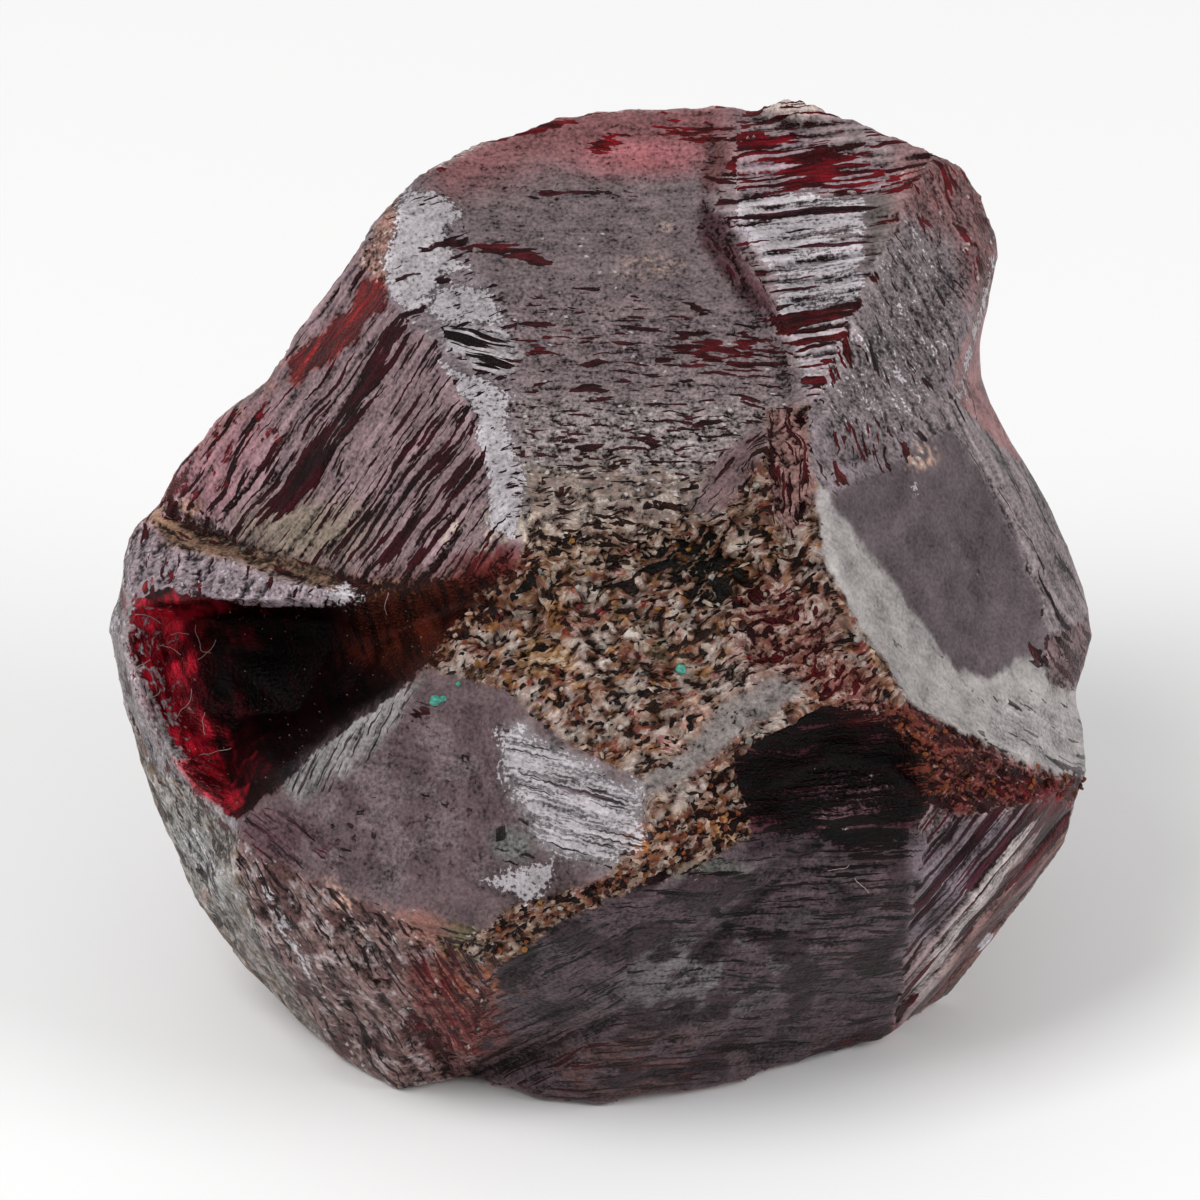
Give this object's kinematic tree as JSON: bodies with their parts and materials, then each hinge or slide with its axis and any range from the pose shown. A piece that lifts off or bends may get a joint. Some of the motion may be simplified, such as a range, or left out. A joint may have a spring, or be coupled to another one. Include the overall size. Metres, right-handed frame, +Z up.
{
  "type": "rough garnet crystal",
  "caption": "Rough almandine garnet crystal, dark red under a worn grey skin, with striated faces, a rough pit and a fracture scoop, resting on a flat crystal face.",
  "frame": {"origin": "middle of the bounding box's underside, in the plane of the flat face the crystal rests on", "axes": "+Z up, +X the crystal's widest way, -Y towards its broad worn front, which leans back 30 degrees"},
  "size_m": [0.0198, 0.017, 0.0168],
  "materials": {
    "garnet": "worn satin crystal faces over dark red, slightly see-through garnet"
  },
  "bodies": {
    "root": {"garnet_crystal": "garnet"}
  },
  "joints": []
}
